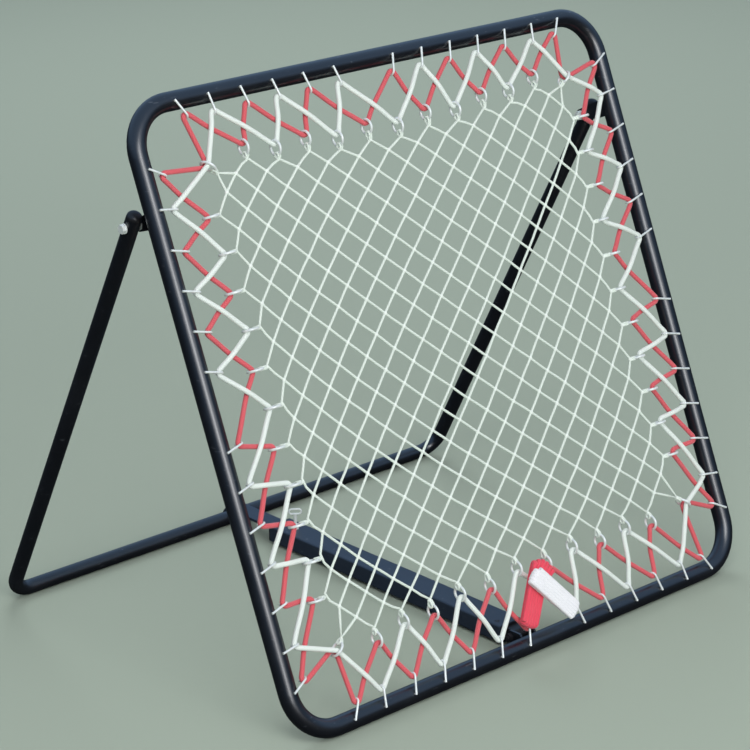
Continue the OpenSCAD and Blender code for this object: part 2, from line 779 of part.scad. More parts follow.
module strut_slide_bar() {
    color(strut_blue) on_ground() translate([bar_w / 2, 0, 0]) rotate([90, 0, -90])
        linear_extrude(bar_w) {
            translate([-bar_y, bar_under]) square([bar_y - strut_rear + bar_in, bar_t]);
            translate([-bar_y, bar_z]) intersection() {
                difference() {
                    circle(lip_r + bar_t);
                    circle(lip_r);
                }
                translate([-lip_r - bar_t, 0]) square(lip_r + bar_t);
            }
            translate([-bar_y - lip_r - bar_t, lip_low]) square([bar_t, bar_z - lip_low]);
        }
}

strut_top = strut_z + strut_h / 2;

module clamp_nut() {
    color(zinc) on_ground() translate([0, screw_y, strut_top + seat_gap]) difference() {
        cylinder(h = 5, r = 5.8, $fn = 6);
        translate([0, 0, -1]) cylinder(h = 8, r = screw_r + bolt_play);
    }
}

// the screw presses on the flat bar and is turned by a bow of bent wire
module clamp_screw() {
    bow_z = strut_top + screw_up - bow_r - bow_wire;
    tip_z = bar_under + bar_t + seat_gap;
    color(zinc) on_ground() translate([0, screw_y, 0]) rotate([0, 0, bow_turn]) {
        translate([0, 0, tip_z]) cylinder(h = bow_z - bow_r - tip_z, r = screw_r);
        for (s = [0, 1]) mirror([s, 0, 0])
            translate([bow_half, 0, bow_z]) rotate([90, 0, 0]) rotate([0, 0, -90])
                rotate_extrude(angle = 180, $fn = 32) translate([bow_r, 0]) circle(bow_wire, $fn = 24);
        for (s = [-1, 1]) translate([0, 0, bow_z + s * bow_r]) x_rod(-bow_half, bow_half, bow_wire);
    }
}

main_frame();
hooks(0);  // hooks_top
hooks(1);  // hooks_left
hooks(2);  // hooks_bottom
hooks(3);  // hooks_right
net();
net_rings(0);  // net_rings_top
net_rings(1);  // net_rings_left
net_rings(2);  // net_rings_bottom
net_rings(3);  // net_rings_right
corner_rings();
red_bungee();
white_bungee();
red_hank();
white_hank();
left_leg_bracket();
right_leg_bracket();
leg_bolts();
leg_nuts();
leg_washers();
rear_leg();
leg_caps();
strut_bracket();
strut_pivot_bolt();
strut_pivot_nut();
strut_box_tube();
strut_end_fitting();
strut_rivets();
strut_guide_bush();
clamp_nut();
clamp_screw();
strut_slide_bar();
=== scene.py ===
"""Looks of the pitch back rebounder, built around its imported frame."""
import math
import bpy
import numpy as np
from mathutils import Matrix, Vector


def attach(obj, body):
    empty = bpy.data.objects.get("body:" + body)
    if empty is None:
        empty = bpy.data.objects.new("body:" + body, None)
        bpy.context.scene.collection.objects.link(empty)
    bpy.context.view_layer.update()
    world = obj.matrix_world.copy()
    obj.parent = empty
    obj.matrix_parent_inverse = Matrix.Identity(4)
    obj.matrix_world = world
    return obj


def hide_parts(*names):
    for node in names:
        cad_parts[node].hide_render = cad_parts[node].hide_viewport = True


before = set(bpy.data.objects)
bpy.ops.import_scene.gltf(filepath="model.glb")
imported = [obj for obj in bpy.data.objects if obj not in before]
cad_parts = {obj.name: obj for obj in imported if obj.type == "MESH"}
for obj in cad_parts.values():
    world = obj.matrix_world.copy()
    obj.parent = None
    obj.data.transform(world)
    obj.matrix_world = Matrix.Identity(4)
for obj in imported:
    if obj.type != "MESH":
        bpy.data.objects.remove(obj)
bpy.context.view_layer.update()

MM = 0.001


def place_camera():
    """The view from the front left, a little above the frame's top."""
    lens = bpy.data.cameras.new("view_camera")
    lens.sensor_width = 36
    lens.lens = 122.4
    lens.shift_x = -0.0015
    lens.shift_y = -0.0023
    lens.clip_end = 60
    camera = bpy.data.objects.new("view_camera", lens)
    camera.location = (-2.6204, -3.0207, 1.7904)
    camera.rotation_euler = [math.radians(a) for a in (70.601, 1.3792, -41.463)]
    bpy.context.scene.collection.objects.link(camera)
    bpy.context.scene.camera = camera


place_camera()

# ---------- the rebounder's sizes, in millimetres ----------

# frame: RAIL is from its middle to the middle of a rail, and Y_MID puts the model's origin under its box
TUBE_R = 15.0
RAIL = 485.0
LEAN = math.radians(21.45)
Y_MID = 370.156

# hooks: each side leaves one of its places out, and hooks lean towards the side's middle, in degrees
HOOKS = 13
HOOK_R = 1.75
HOOK_PITCH = 61.8
HOOK_ROOT = 1.8
HOOK_LEN = 26.0
HOOK_OFF = 0.35
HOOK_N = -(TUBE_R + HOOK_OFF + HOOK_R)
SKIPPED = (7, 6, 7, 7)
HOOK_SHIFT = (3.5, 9.4, 12.2, 7.0)
HOOK_TILTS = (29.0, 9.0, 14.5)

# stretched cords; depths count backwards from the rails' middle
CORD_R = 4.0
CURL_PLAY = 0.4
CURL_R = CORD_R + HOOK_R + CURL_PLAY
CORD_N = HOOK_N + CURL_R
CORD_OFF = 4.25
BEND_GAP = 0.3
ARC_STEP = 0.3
RUN_STEPS = 10

# net: how its meshes spread towards the corners, ease towards the edges and hang,
# and how far its edge knots are pulled out at red and at white rings
MESHES = 13
MESH = 59.7
NET_TALL = 0.9405
SPREAD = (0.05808, 0.07392)
EASE = (0.044, 0.029)
HANG_ACROSS = (-3.5, 2.1, 0.0, 2.8, 5.4)
HANG_UP = (7.0, 4.8, -2.0, 6.4, 1.7)
EDGE_OUT = ((-3.6, -9.6), (-0.7, -9.2), (3.8, -2.1), (-5.5, -9.7))
LEFT_SLIDE = 5.0
CORNER_SHIFT = ((-12.4, -10.2), (8.4, -12.3), (3.8, -4.6), (2.8, -5.4))

# rings and the ties that hold them; a tie's length falls off towards the ends of a side
RINGS = 11
RING_R = 2.1
RING_MID = 11.9
RED_TIE = (9.0, 5.0)
WHITE_TIE = (5.5, 1.0)
CORNER_TIE = 5.0
TIE_R = 2.0
TIE_ASIDE = 1.5
TIE_GAP = 0.05
TIE_ROOT = 1.2
TIE_WRAP = math.radians(110)
TIE_POINTS = 11
CORNER_IN = math.sqrt((RING_MID - RING_R - CORD_R - BEND_GAP) ** 2 - CORD_OFF ** 2)

# the sides are top, left, bottom and right, and corner k lies before side k
SIDE_IN = np.array([(0, -1), (1, 0), (0, 1), (-1, 0)], float)
CORNER_OUT = np.array([(1, 1), (-1, 1), (-1, -1), (1, -1)], float)


def on_frame(points):
    """Points across, up and behind the middle of the leaning frame, as places in the model in metres."""
    p = np.asarray(points, float).reshape(-1, 3)
    up, back = p[:, 1] + RAIL, p[:, 2]
    y = back * math.cos(LEAN) + up * math.sin(LEAN) - Y_MID
    z = up * math.cos(LEAN) - back * math.sin(LEAN) + TUBE_R
    return np.stack([p[:, 0], y, z], 1) * MM


def unit(v):
    return np.asarray(v, float) / np.linalg.norm(v)


def turn_left(v):
    return np.array([-v[1], v[0]])


# ---------- knots and rings of the net ----------

def net_at(x, y):
    """Where a knot lies across and up the frame; x and y count half meshes from the middle."""
    p, q = x / MESHES, y / MESHES
    across = MESH / 2 * x * (1 + SPREAD[0] * q * q - EASE[0] * p * p)
    up = MESH / 2 * NET_TALL * y * (1 + SPREAD[1] * p * p - EASE[1] * q * q)
    return np.array([
        across + np.dot(HANG_ACROSS, (1, q, p * q, p * p, q * q)),
        up + np.dot(HANG_UP, (1, p, p * q, p * p, q * q))])


def pulled(a):
    """0 where a red ring pulls the edge knot outwards, 1 where a white one lets it lie further in."""
    return 0 if abs(a / 2) % 2 == 1 else 1


def knot(x, y):
    """Where a knot lies with the net tied in: the last ones at a corner are gathered into one."""
    if min(abs(x), abs(y)) >= MESHES - 1:
        corner = (0 if x > 0 else 1) if y > 0 else (3 if x > 0 else 2)
        gathered = MESHES - 0.5
        return net_at(math.copysign(gathered, x), math.copysign(gathered, y)) + CORNER_SHIFT[corner]
    p = net_at(x, y)
    if abs(y) == MESHES:
        p[1] += EDGE_OUT[0 if y > 0 else 2][pulled(x)] * math.copysign(1, y)
    elif abs(x) == MESHES:
        p[0] += EDGE_OUT[3 if x > 0 else 1][pulled(y)] * math.copysign(1, x)
        p[1] -= LEFT_SLIDE if x < 0 else 0
    return p


def side_knot(side, q):
    a = 2 * q - RINGS + 1
    return (knot(-a, MESHES), knot(-MESHES, -a), knot(a, -MESHES), knot(MESHES, a))[side]


def tie(q):
    """Length of the twine from an edge knot to its ring."""
    length, fall = RED_TIE if q % 2 == 0 else WHITE_TIE
    return length - fall * (2 * q / (RINGS - 1) - 1) ** 2


def ring_at(side, q):
    return side_knot(side, q) - SIDE_IN[side] * (tie(q) + RING_MID)


def corner_knot(side):
    return knot(*(CORNER_OUT[side] * (MESHES - 1)))


def corner_ring_at(side):
    return corner_knot(side) + unit(CORNER_OUT[side]) * (CORNER_TIE + RING_MID)


# ---------- routes of the bungee cords ----------

def on_side(side, along, depth):
    """Across and up the frame, from a place along a side and its distance in from the rail."""
    places = ((-along, RAIL - depth), (depth - RAIL, -along), (along, depth - RAIL), (RAIL - depth, along))
    return np.array(places[side])


def hook_post(side, rank):
    """What a cord bends round at a hook: its place, the bend's radius, and 1 if it is on the cord's left."""
    along = ((rank if rank < SKIPPED[side] else rank + 1) - HOOKS / 2) * HOOK_PITCH + HOOK_SHIFT[side]
    tilt = math.radians(HOOK_TILTS[min(rank, HOOKS - 1 - rank, 2)]) * math.copysign(1, along)
    far = HOOK_LEN + CURL_R
    place = on_side(side, along - far * math.sin(tilt), HOOK_ROOT + far * math.cos(tilt))
    return place, CORD_R + HOOK_R + BEND_GAP, 1


def ring_post(side, q):
    return ring_at(side, q) - SIDE_IN[side] * RING_MID, CORD_R + RING_R + BEND_GAP, -1


def corner_post(side):
    return corner_ring_at(side) + unit(CORNER_OUT[side]) * RING_MID, RING_MID - CORNER_IN, -1


def run(a, b):
    """Direction of the straight cord between two posts that it bends round."""
    d = b[0] - a[0]
    s = (b[2] * b[1] - a[2] * a[1]) / np.linalg.norm(d)
    return unit(d * math.sqrt(1 - s * s) - turn_left(d) * s)


def beside(post, way):
    """The point where a cord that runs this way touches its bend round a post."""
    return post[0] - turn_left(way) * post[1] * post[2]


def cord_posts(colour):
    """The posts of one cord all round the frame, each with how far behind the middle the cord lies there."""
    posts = []
    for side in range(4):
        first = 0 if colour == "red" else 1
        offset = CORD_OFF if colour == "red" else -CORD_OFF
        posts.append((corner_post(side), CORD_N + offset))
        for rank in range(first, HOOKS - first, 2):
            posts.append((hook_post(side, rank), CORD_N))
            if rank + 2 < HOOKS - first:
                posts.append((ring_post(side, rank), CORD_N))
    return posts


def meet(p, u, q, w):
    """Where the line through p along u meets the line through q along w."""
    s = u[0] * w[1] - u[1] * w[0]
    d = q - p
    return p + u * ((d[0] * w[1] - d[1] * w[0]) / s)


def cord_runs(posts):
    """For each post, where the straight cord leaves it and where it reaches the next."""
    out = []
    for i, (a, _) in enumerate(posts):
        b = posts[(i + 1) % len(posts)][0]
        way = run(a, b)
        out.append((beside(a, way), beside(b, way), way))
    return out


def crossing_share(own, other, k, margin=0.05):
    """How far along straight k of one cord a straight of the other crosses it, as a share, or None."""
    p, q, u = own[k]
    for r, s, w in other:
        across = u[0] * w[1] - u[1] * w[0]
        if abs(across) < 1e-6:
            continue
        c = meet(p, u, r, w)
        t = np.dot(c - p, u) / np.linalg.norm(q - p)
        v = np.dot(c - r, w) / np.linalg.norm(s - r)
        if margin < min(t, v) and max(t, v) < 1 - margin:
            return t
    return None


def smooth_step(t):
    return t * t * (3 - 2 * t)


def cord_route(colour):
    """The cord's middle line: arcs round its posts, and straights that pass the other cord in depth."""
    other = "white" if colour == "red" else "red"
    offset = CORD_OFF if colour == "red" else -CORD_OFF
    posts = cord_posts(colour)
    runs, others = cord_runs(posts), cord_runs(cord_posts(other))
    route = []
    for i, (post, depth) in enumerate(posts):
        way_in, way_out = runs[i - 1][2], runs[i][2]
        place, radius, _ = post
        a0 = math.atan2(*(beside(post, way_in) - place)[::-1])
        a1 = math.atan2(*(beside(post, way_out) - place)[::-1])
        turn = (a1 - a0 + math.pi) % (2 * math.pi) - math.pi
        steps = max(3, int(abs(turn) / ARC_STEP))
        for k in range(steps + 1):
            a = a0 + turn * k / steps
            route.append((*(place + radius * np.array([math.cos(a), math.sin(a)])), depth))
        start, end, _ = runs[i]
        share = crossing_share(runs, others, i)
        next_depth = posts[(i + 1) % len(posts)][1]
        passing = CORD_N + offset
        for k in range(1, RUN_STEPS):
            t = k / RUN_STEPS
            if share is None:
                n = depth + (next_depth - depth) * t
            elif t < share:
                n = depth + (passing - depth) * smooth_step(t / share)
            else:
                n = passing + (next_depth - passing) * smooth_step((t - share) / (1 - share))
            route.append((*(start + (end - start) * t), n))
    return on_frame(route)


# ---------- route of a hank of spare cord ----------

# STRAIGHT and BEND count the points along each straight and round each bend
HANK_TURNS = 5
HANK_WIDE = 25.8
HANK_PITCH = HANK_WIDE / HANK_TURNS
HANK_END_R = 4.3
HANK_LEN = 110.0
HANK_THICK = 2 * HANK_END_R + 2 * CORD_R
STRAIGHT = 8
BEND = 16
CORD_SIDES = 8
HANK_SIDES = 6
REST_GAP = 0.3
RED_NEST = 0.8
WHITE_NEST = 0.7

# from the middle of a stretched cord to the back of a hank that rests on it, flat against flat
TO_BACK = CORD_R * (math.cos(math.pi / CORD_SIDES) + math.cos(math.pi / HANK_SIDES) - 1)
RED_DEPTH = CORD_N - CORD_OFF - TO_BACK - REST_GAP + RED_NEST - HANK_THICK / 2
WHITE_DEPTH = RED_DEPTH - HANK_THICK + WHITE_NEST

# the middle of each hank, how far it is turned in degrees, and how far its top fans out;
# the fan starts at FAN_FROM above the middle and its crown stands up by a share of it
HANKS = {
    "red": ((6.7, RED_DEPTH, 77.4 - RAIL), 33.3, 15.0),
    "white": ((34.9, WHITE_DEPTH, 69.6 - RAIL), -38.6, 0.0),
}
END_ROUND = 0.05
FAN_FROM = 12.0
FAN_OVER = 38.0
FAN_CROWN = 0.4


def hank_turn(step, half):
    """Height and depth on one turn of a hank: up its front, over the top, down its back and under."""
    back, step = divmod(step, STRAIGHT + BEND)
    hand = -1 if back else 1
    if step < STRAIGHT:
        return hand * half * (2 * step / STRAIGHT - 1), -hand * HANK_END_R
    a = math.pi * (step - STRAIGHT) / BEND
    return hand * (half + HANK_END_R * math.sin(a)), -hand * HANK_END_R * math.cos(a)


def hank_route(colour):
    """A wound bundle of cord with rounded ends and a fanned top, turned and put before the net."""
    half = (HANK_LEN - 2 * (HANK_END_R + CORD_R)) / 2
    steps = 2 * (STRAIGHT + BEND)
    points = [(-HANK_WIDE / 2, -half - CORD_R, -HANK_END_R)]
    for i in range(HANK_TURNS * steps + STRAIGHT + 1):
        w = HANK_PITCH * (i / steps - HANK_TURNS / 2)
        points.append((w, *hank_turn(i % steps, half)))
    points.append((HANK_WIDE / 2 + HANK_PITCH * STRAIGHT / steps, half + CORD_R, -HANK_END_R))
    (x, n, z), turn, fan = HANKS[colour]
    t = math.radians(turn)
    p = np.array(points)
    share = p[:, 0] / HANK_WIDE + 0.5
    p[:, 1] *= 1 - END_ROUND * np.abs(2 * share - 1) ** 3
    top = np.clip((p[:, 1] - FAN_FROM) / FAN_OVER, 0, 1) ** 2
    p[:, 0] += fan * top * share
    p[:, 1] += FAN_CROWN * fan * top * np.sin(math.pi * np.clip(share, 0, 1))
    across = x + p[:, 0] * math.cos(t) + p[:, 1] * math.sin(t)
    up = z - p[:, 0] * math.sin(t) + p[:, 1] * math.cos(t)
    return on_frame(np.stack([across, up, n + p[:, 2]], 1))


# ---------- materials ----------

class Sock:
    """A socket or number that node maths can be written with."""

    def __init__(self, mat, value):
        self.mat, self.value = mat, value

    def _op(self, kind, *others):
        return self.mat.math(kind, self, *others)

    def __add__(self, o): return self._op("ADD", o)
    def __radd__(self, o): return self.mat.math("ADD", o, self)
    def __sub__(self, o): return self._op("SUBTRACT", o)
    def __rsub__(self, o): return self.mat.math("SUBTRACT", o, self)
    def __mul__(self, o): return self._op("MULTIPLY", o)
    def __rmul__(self, o): return self.mat.math("MULTIPLY", o, self)
    def __pow__(self, o): return self._op("POWER", o)
    def sin(self): return self._op("SINE")
    def cos(self): return self._op("COSINE")
    def abs(self): return self._op("ABSOLUTE")
    def most(self, o): return self._op("MAXIMUM", o)

    def ramp(self, low, high, to_low=0.0, to_high=1.0):
        """A smooth change from to_low to to_high as the value goes from low to high."""
        return self.mat.node("ShaderNodeMapRange", {"interpolation_type": "SMOOTHSTEP"}, {
            "Value": self, "From Min": low, "From Max": high, "To Min": to_low, "To Max": to_high})


class Finish:
    """A procedural material with one surface shader."""

    def __init__(self, name):
        self.material = bpy.data.materials.new(name)
        self.material.use_nodes = True
        self.tree = self.material.node_tree
        self.tree.nodes.clear()
        self.shader = self.tree.nodes.new("ShaderNodeBsdfPrincipled")
        out = self.tree.nodes.new("ShaderNodeOutputMaterial")
        self.tree.links.new(self.shader.outputs[0], out.inputs["Surface"])

    def plug(self, socket, value):
        """Links a socket to another, or gives it a value."""
        value = value.value if isinstance(value, Sock) else value
        if isinstance(value, bpy.types.NodeSocket):
            self.tree.links.new(value, socket)
        elif isinstance(value, (tuple, list)) and len(value) == 3 and socket.type == "RGBA":
            socket.default_value = (*value, 1)
        else:
            socket.default_value = value

    def node(self, kind, settings=None, inputs=None, output=0):
        """Adds a node, with its settings first and then its sockets' values or links."""
        n = self.tree.nodes.new(kind)
        for name, value in (settings or {}).items():
            setattr(n, name, value)
        for name, value in (inputs or {}).items():
            self.plug(n.inputs[name], value)
        return Sock(self, n.outputs[output])

    def math(self, kind, *values):
        return self.node("ShaderNodeMath", {"operation": kind}, dict(enumerate(values)))

    def mix(self, share, low, high):
        """A colour between low and high."""
        n = self.tree.nodes.new("ShaderNodeMix")
        n.data_type = "RGBA"
        for index, value in ((0, share), (6, low), (7, high)):
            self.plug(n.inputs[index], value)
        return Sock(self, n.outputs[2])

    def place(self):
        return self.node("ShaderNodeTexCoord", output="Object")

    def noise(self, scale, detail, stretch=None):
        place = self.place()
        if stretch:
            place = self.node("ShaderNodeMapping", {}, {"Vector": place, "Scale": stretch})
        return self.node("ShaderNodeTexNoise", {}, {"Vector": place, "Scale": scale, "Detail": detail})

    def bump(self, height, strength, distance):
        return self.node("ShaderNodeBump", {}, {"Height": height, "Strength": strength, "Distance": distance})

    def lay(self):
        """Where a point of a swept piece lies: its two places off the middle line, and how far along it."""
        kept = self.node("ShaderNodeAttribute", {"attribute_name": "lay"}, output="Vector")
        part = self.tree.nodes.new("ShaderNodeSeparateXYZ")
        self.plug(part.inputs[0], kept)
        return [Sock(self, out) for out in part.outputs]

    def set(self, **inputs):
        """Fills in the shader's sockets, with _ for each space in a name, and gives the material."""
        for name, value in inputs.items():
            self.plug(self.shader.inputs[name.replace("_", " ")], value)
        return self.material


def powder_coat(name, colour, edge, roughness, shine, coat):
    """Blue-black powder coat with a faint orange peel, dust and thin scuffs."""
    f = Finish(name)
    dust = f.noise(9, 4).ramp(0.45, 0.75)
    peel = f.noise(900, 1)
    scuff = f.noise(60, 2, stretch=(1, 1, 6)).ramp(0.70, 0.74)
    worn = f.mix(dust * 0.35, colour, edge)
    return f.set(
        Base_Color=f.mix(scuff * 0.25, worn, (0.22, 0.24, 0.27)),
        Roughness=dust * 0.10 + roughness,
        Specular_IOR_Level=shine,
        Coat_Weight=coat,
        Coat_Roughness=0.24,
        Normal=f.bump(peel, 0.12, 0.0002))


def zinc_plate(name):
    """Bright zinc on wire, washers and bolts, with dull patches."""
    f = Finish(name)
    patch = f.noise(140, 3).ramp(0.35, 0.7)
    grain = f.noise(1500, 1)
    return f.set(
        Base_Color=f.mix(patch, (0.92, 0.95, 0.93), (0.79, 0.84, 0.82)),
        Metallic=0.3,
        Roughness=patch * 0.12 + 0.38,
        Normal=f.bump(grain, 0.1, 0.0001))


def cord_cover(name, colour, shade, fleck, strands=8, pitch=1400):
    """Braided cover: two sets of strands wound round the cord against each other, with painted shade in the
    grooves between them.
    """
    f = Finish(name)
    across, up, far = f.lay()
    turn = f.math("ARCTAN2", up, across)
    one = (turn * strands + far * pitch).sin()
    two = (turn * strands - far * pitch).sin()
    strand = one.most(two)
    # painted shade: the gaps between strands take the darker shade colour
    groove_shade_mask = strand.ramp(-0.2, 0.5)
    soil = f.noise(45, 3).ramp(0.4, 0.8)
    base = f.mix(groove_shade_mask, shade, colour)
    fuzz = f.noise(2500, 2)
    return f.set(
        Base_Color=f.mix(soil * 0.3, base, fleck),
        Roughness=0.75,
        Sheen_Weight=0.35,
        Sheen_Roughness=0.4,
        Normal=f.bump(strand * 0.7 + fuzz * 0.3, 0.5, 0.0006))


def twine(name, plies=3, pitch=900):
    """Pale twisted twine with painted shade between its plies, lighter at its knots, where lay is zero."""
    f = Finish(name)
    across, up, far = f.lay()
    turn = f.math("ARCTAN2", up, across)
    ply = ((turn * plies + far * pitch) * 0.5).cos().abs()
    soil = f.noise(30, 3).ramp(0.35, 0.75)
    # painted shade: the twine is coloured darker in the grooves between its plies
    base = f.mix(ply.ramp(0.0, 0.5), (0.54, 0.62, 0.54), (0.77, 0.84, 0.77))
    girth = across ** 2 + up ** 2
    base = f.mix(girth.ramp(0.0, 2e-7), (0.84, 0.89, 0.84), base)
    return f.set(
        Base_Color=f.mix(soil * 0.3, base, (0.72, 0.81, 0.72)),
        Roughness=0.7,
        Sheen_Weight=0.2,
        Normal=f.bump(ply, 0.5, 0.0005))


def moulded_plastic(name):
    """Black plastic with a fine grain and some dust."""
    f = Finish(name)
    grain = f.noise(700, 2)
    dust = f.noise(25, 3).ramp(0.45, 0.8)
    return f.set(
        Base_Color=f.mix(dust * 0.4, (0.012, 0.012, 0.014), (0.05, 0.05, 0.052)),
        Roughness=dust * 0.15 + 0.38,
        Normal=f.bump(grain, 0.15, 0.0002))


BLACK_PAINT = powder_coat("black_powder_coat", (0.004, 0.005, 0.008), (0.009, 0.011, 0.016), 0.30, 0.7, 0.9)
STRUT_PAINT = powder_coat("slate_powder_coat", (0.015, 0.025, 0.044), (0.025, 0.039, 0.064), 0.46, 0.95, 0.1)
ZINC = zinc_plate("zinc_plate")
# each braid's second colour is its painted shade in the grooves between strands
RED_COVER = cord_cover("red_braid", (0.78, 0.13, 0.15), (0.50, 0.05, 0.07), (0.66, 0.14, 0.16))
WHITE_COVER = cord_cover("white_braid", (0.86, 0.92, 0.87), (0.64, 0.70, 0.66), (0.76, 0.81, 0.76))
RED_HANK = cord_cover("red_hank_braid", (0.90, 0.08, 0.13), (0.62, 0.03, 0.06), (0.86, 0.12, 0.16))
WHITE_HANK = cord_cover("white_hank_braid", (0.92, 0.91, 0.94), (0.80, 0.80, 0.84), (0.88, 0.88, 0.93))
TWINE = twine("net_twine")
PLASTIC = moulded_plastic("black_plastic")
BOLT_BLACK = powder_coat("black_bolts", (0.012, 0.013, 0.016), (0.03, 0.03, 0.034), 0.34, 0.5, 0.0)

NODE_FINISH = {
    BLACK_PAINT: ("main_frame", "left_leg_bracket", "right_leg_bracket", "rear_leg", "strut_bracket"),
    STRUT_PAINT: ("strut_box_tube", "strut_slide_bar", "strut_rivets"),
    PLASTIC: ("leg_caps", "strut_end_fitting", "strut_guide_bush"),
    BOLT_BLACK: ("strut_pivot_bolt", "strut_pivot_nut"),
}
for node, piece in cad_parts.items():
    finish = next((m for m, names in NODE_FINISH.items() if node in names), ZINC)
    for slot in piece.material_slots:
        slot.material = finish


# ---------- geometry nodes ----------

class Tree:
    """A geometry node tree with named inputs, and a short way to add and join nodes."""

    def __init__(self, name, **inputs):
        self.tree = bpy.data.node_groups.new(name, "GeometryNodeTree")
        face = self.tree.interface
        face.new_socket("Geometry", in_out="INPUT", socket_type="NodeSocketGeometry")
        face.new_socket("Geometry", in_out="OUTPUT", socket_type="NodeSocketGeometry")
        kinds = {float: "NodeSocketFloat", int: "NodeSocketInt", bpy.types.Material: "NodeSocketMaterial"}
        self.inputs = inputs
        for label, value in inputs.items():
            kind = next(k for t, k in kinds.items() if isinstance(value, t))
            face.new_socket(label, in_out="INPUT", socket_type=kind)
        self.given = self.tree.nodes.new("NodeGroupInput")
        self.result = self.tree.nodes.new("NodeGroupOutput")

    def add(self, kind, settings=None, inputs=None, output=0):
        """Adds a node and gives one of its outputs, or the node itself where output is None."""
        n = self.tree.nodes.new(kind)
        for name, value in (settings or {}).items():
            setattr(n, name, value)
        for name, value in (inputs or {}).items():
            if isinstance(value, bpy.types.NodeSocket):
                self.tree.links.new(value, n.inputs[name])
            else:
                n.inputs[name].default_value = value
        return n.outputs[output] if output is not None else n

    def finish(self, geometry):
        """Ends the tree: real geometry in its own material."""
        real = self.add("GeometryNodeRealizeInstances", inputs={"Geometry": geometry})
        done = self.add("GeometryNodeSetMaterial", inputs={
            "Geometry": real, "Material": self.given.outputs["Material"]})
        self.tree.links.new(done, self.result.inputs[0])
        return self

    def make(self, name, mesh):
        """The tree's result on a mesh of points and edges, as a plain mesh object."""
        carrier = bpy.data.objects.new(name + "_path", mesh)
        bpy.context.scene.collection.objects.link(carrier)
        modifier = carrier.modifiers.new("build", "NODES")
        modifier.node_group = self.tree
        for item in self.tree.interface.items_tree:
            if item.in_out == "INPUT" and item.name in self.inputs:
                modifier[item.identifier] = self.inputs[item.name]
        graph = bpy.context.evaluated_depsgraph_get()
        made = bpy.data.meshes.new_from_object(carrier.evaluated_get(graph))
        bpy.data.objects.remove(carrier)
        made.name = name
        piece = bpy.data.objects.new(name, made)
        bpy.context.scene.collection.objects.link(piece)
        return piece


def swept(tree, path, radius, sides):
    """Sweeps a circle along a path, and keeps where each point lies round and along it as lay."""
    add = tree.add
    circle = add("GeometryNodeCurvePrimitiveCircle", inputs={"Resolution": sides, "Radius": radius})
    around = add("GeometryNodeInputPosition")
    caught = add("GeometryNodeCaptureAttribute", output=None)
    caught.capture_items.new("VECTOR", "around")
    tree.tree.links.new(circle, caught.inputs[0])
    tree.tree.links.new(around, caught.inputs[1])
    along = add("GeometryNodeSplineParameter", output="Length")
    kept = add("GeometryNodeCaptureAttribute", output=None)
    kept.capture_items.new("FLOAT", "along")
    tree.tree.links.new(path, kept.inputs[0])
    tree.tree.links.new(along, kept.inputs[1])
    tube = add("GeometryNodeCurveToMesh", inputs={
        "Curve": kept.outputs[0], "Profile Curve": caught.outputs[0], "Fill Caps": True})
    split = add("ShaderNodeSeparateXYZ", inputs={"Vector": caught.outputs[1]}, output=None)
    lay = add("ShaderNodeCombineXYZ", inputs={
        "X": split.outputs[0], "Y": split.outputs[1], "Z": kept.outputs[1]})
    marked = add("GeometryNodeStoreNamedAttribute", {"data_type": "FLOAT_VECTOR", "domain": "POINT"}, {
        "Geometry": tube, "Name": "lay", "Value": lay})
    return add("GeometryNodeSetShadeSmooth", inputs={"Geometry": marked})


def cord_tree(name, material, radius, sides):
    """A round cord along every chain of edges in a mesh."""
    tree = Tree(name, Radius=radius, Sides=sides, Material=material)
    path = tree.add("GeometryNodeMeshToCurve", inputs={"Mesh": tree.given.outputs["Geometry"]})
    return tree.finish(swept(tree, path, tree.given.outputs["Radius"], tree.given.outputs["Sides"]))


def path_mesh(name, paths, closed):
    """A mesh of points joined in chains."""
    points, edges = [], []
    for path in paths:
        first = len(points)
        points.extend(tuple(p) for p in path)
        count = len(path)
        edges.extend((first + i, first + i + 1) for i in range(count - 1))
        if closed:
            edges.append((first + count - 1, first))
    mesh = bpy.data.meshes.new(name)
    mesh.from_pydata(points, edges, [])
    return mesh


def finish_piece(piece, slot, *nodes):
    """Fixes a piece to the frame and puts it in the place of CAD nodes; slot is not used."""
    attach(piece, "frame")
    if nodes:
        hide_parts(*nodes)


# ---------- cords ----------

ROUND_SIDES = 14

for colour, cover, hank_cover in (("red", RED_COVER, RED_HANK), ("white", WHITE_COVER, WHITE_HANK)):
    cord = cord_tree(colour + "_cord_sweep", cover, CORD_R * MM, ROUND_SIDES)
    piece = cord.make(colour + "_cord", path_mesh(colour + "_route", [cord_route(colour)], True))
    finish_piece(piece, colour + "_cord", colour + "_bungee")
    spare = cord_tree(colour + "_hank_sweep", hank_cover, CORD_R * MM, ROUND_SIDES)
    piece = spare.make(colour + "_spare_cord", path_mesh(colour + "_winding", [hank_route(colour)], False))
    finish_piece(piece, colour + "_cord", colour + "_hank")


# ---------- net ----------

def net_strands():
    """Every strand of the net between two knots, and the knots."""
    knots, order, strands = [], {}, []

    def number(x, y):
        p = tuple(np.round(knot(x, y), 4))
        if p not in order:
            order[p] = len(knots)
            knots.append((*p, CORD_N))
        return order[p]

    for x in range(-MESHES, MESHES):
        for y in range(-MESHES, MESHES):
            ends = ((x, y), (x + 1, y + 1)) if (x + y) % 2 else ((x + 1, y), (x, y + 1))
            a, b = (number(*e) for e in ends)
            if a != b:
                strands.append((a, b))
    return knots, strands


